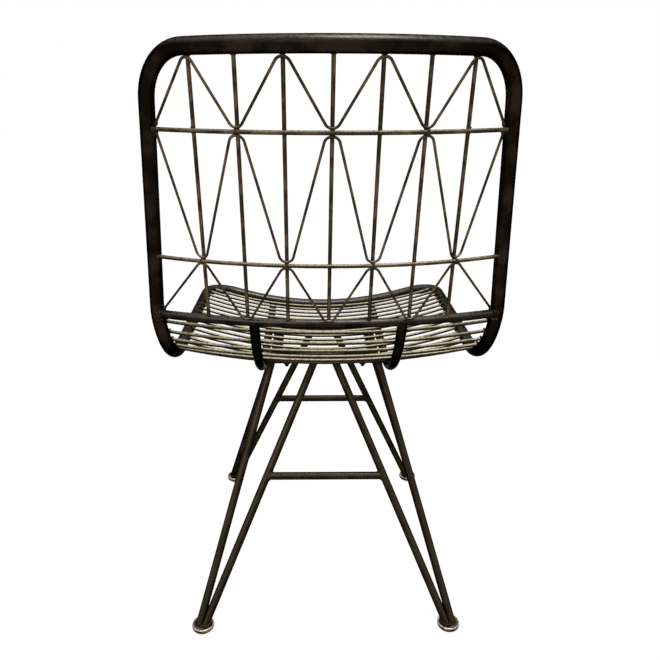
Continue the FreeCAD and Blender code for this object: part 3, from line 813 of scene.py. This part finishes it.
class CHAIR_OT_set_stage(bpy.types.Operator):
    """Add the floor, the soft lamps, the white surroundings and the camera"""

    bl_idname = "chair.set_stage"
    bl_label = "Set the stage"

    def execute(self, context):
        stage = context.scene.chair_stage
        self.add_floor(context, stage)
        self.add_world(context, stage)
        self.add_lamp(context, "key_lamp", stage.key_power, stage.key_place, stage.key_width)
        self.add_lamp(context, "fill_lamp", stage.fill_power, stage.fill_place, stage.fill_width)
        self.add_camera(context, stage)
        context.scene.view_settings.view_transform = "Standard"
        return {"FINISHED"}

    def seen(self, tree):
        """1 where a ray comes from the camera, a mirror or glass."""
        rays = tree.nodes.new("ShaderNodeLightPath")
        total = rays.outputs["Is Camera Ray"]
        for name in ("Is Glossy Ray", "Is Transmission Ray"):
            total = combined(tree, "ADD", total, rays.outputs[name], clamp=True)
        return total

    def add_floor(self, context, stage):
        """A matt floor that the camera sees as nearly white, with the chair's shadow on it."""
        shape = bmesh.new()
        bmesh.ops.create_grid(shape, x_segments=1, y_segments=1, size=FLOOR_REACH)
        mesh = bpy.data.meshes.new("floor")
        shape.to_mesh(mesh)
        shape.free()
        floor = bpy.data.objects.new("floor", mesh)
        context.scene.collection.objects.link(floor)
        material = bpy.data.materials.new("floor_white")
        tree = empty_tree(material)
        matt = add_node(tree, "ShaderNodeBsdfDiffuse", Color=(*stage.floor_colour, 1))
        white = add_node(tree, "ShaderNodeEmission", Strength=stage.floor_glow)
        mixed = tree.nodes.new("ShaderNodeMixShader")
        feed(tree, mixed.inputs[0], combined(tree, "MULTIPLY", self.seen(tree), stage.floor_white))
        feed(tree, mixed.inputs[1], matt.outputs["BSDF"])
        feed(tree, mixed.inputs[2], white.outputs["Emission"])
        add_node(tree, "ShaderNodeOutputMaterial", Surface=mixed.outputs["Shader"])
        mesh.materials.append(material)

    def add_world(self, context, stage):
        """Surroundings that are white to the camera and give plain light."""
        world = bpy.data.worlds.new("white_surroundings")
        tree = empty_tree(world)
        level = add_node(
            tree, "ShaderNodeMapRange",
            Value=self.seen(tree), From_Min=0.0, From_Max=1.0, To_Min=stage.sky_level, To_Max=1.0,
        )
        background = add_node(
            tree, "ShaderNodeBackground", Color=(1, 1, 1, 1), Strength=level.outputs["Result"]
        )
        add_node(tree, "ShaderNodeOutputWorld", Surface=background.outputs["Background"])
        context.scene.world = world

    def add_lamp(self, context, name, watts, spot, width):
        """A square lamp that looks at the chair."""
        lamp = bpy.data.lights.new(name, "AREA")
        lamp.shape = "SQUARE"
        lamp.size = width
        lamp.energy = watts
        holder = bpy.data.objects.new(name, lamp)
        holder.location = spot
        aim = LAMP_AIM - Vector(spot)
        holder.rotation_euler = aim.to_track_quat("-Z", "Y").to_euler()
        context.scene.collection.objects.link(holder)

    def add_camera(self, context, stage):
        """The camera of the photograph, behind the chair and looking to its front."""
        pitch, yaw, roll = stage.camera_pitch, stage.camera_yaw, stage.camera_roll
        ahead = Vector((
            -math.sin(yaw) * math.cos(pitch),
            -math.cos(yaw) * math.cos(pitch),
            -math.sin(pitch),
        ))
        level = Vector((-math.cos(yaw), math.sin(yaw), 0))
        right = level * math.cos(roll) + level.cross(ahead) * math.sin(roll)
        above = right.cross(ahead)
        camera = bpy.data.cameras.new("camera")
        camera.lens = stage.camera_lens
        camera.sensor_width = FILM_WIDTH
        camera.shift_x, camera.shift_y = stage.camera_shift
        holder = bpy.data.objects.new("camera", camera)
        facing = Matrix((right, above, -ahead)).transposed().to_4x4()
        holder.matrix_world = Matrix.Translation(Vector(stage.camera_place)) @ facing
        context.scene.collection.objects.link(holder)
        context.scene.camera = holder


class CHAIR_PT_panel(bpy.types.Panel):
    """Lists the steps that dress the chair, and their settings"""

    bl_idname = "CHAIR_PT_panel"
    bl_label = "Wire Mesh Chair"
    bl_space_type = "VIEW_3D"
    bl_region_type = "UI"
    bl_category = "Chair"

    def draw(self, context):
        for operator in OPERATORS:
            self.layout.operator(operator.bl_idname)
        for group in SETTINGS:
            box = self.layout.box()
            for name in SETTINGS[group].__annotations__:
                box.prop(getattr(context.scene, group), name)


SETTINGS = {"chair_finish": ChairFinish, "chair_welds": ChairWelds, "chair_stage": ChairStage}
OPERATORS = [
    CHAIR_OT_finish_frame,
    CHAIR_OT_finish_back_wires,
    CHAIR_OT_finish_seat_wires,
    CHAIR_OT_finish_legs,
    CHAIR_OT_finish_feet,
    CHAIR_OT_weld_back,
    CHAIR_OT_weld_seat,
    CHAIR_OT_weld_rails,
    CHAIR_OT_weld_legs,
    CHAIR_OT_cut_threads,
    CHAIR_OT_set_stage,
]
CLASSES = [*SETTINGS.values(), *OPERATORS, CHAIR_PT_panel]


def register():
    for kind in CLASSES:
        bpy.utils.register_class(kind)
    for name, kind in SETTINGS.items():
        setattr(bpy.types.Scene, name, PointerProperty(type=kind))


def unregister():
    for name in SETTINGS:
        delattr(bpy.types.Scene, name)
    for kind in reversed(CLASSES):
        bpy.utils.unregister_class(kind)


def main():
    register()
    bpy.ops.chair.finish_frame()
    bpy.ops.chair.finish_back_wires()
    bpy.ops.chair.finish_seat_wires()
    bpy.ops.chair.finish_legs()
    bpy.ops.chair.finish_feet()
    bpy.ops.chair.weld_back()
    bpy.ops.chair.weld_seat()
    bpy.ops.chair.weld_rails()
    bpy.ops.chair.weld_legs()
    bpy.ops.chair.cut_threads()
    bpy.ops.chair.set_stage()


if __name__ == "__main__":
    main()
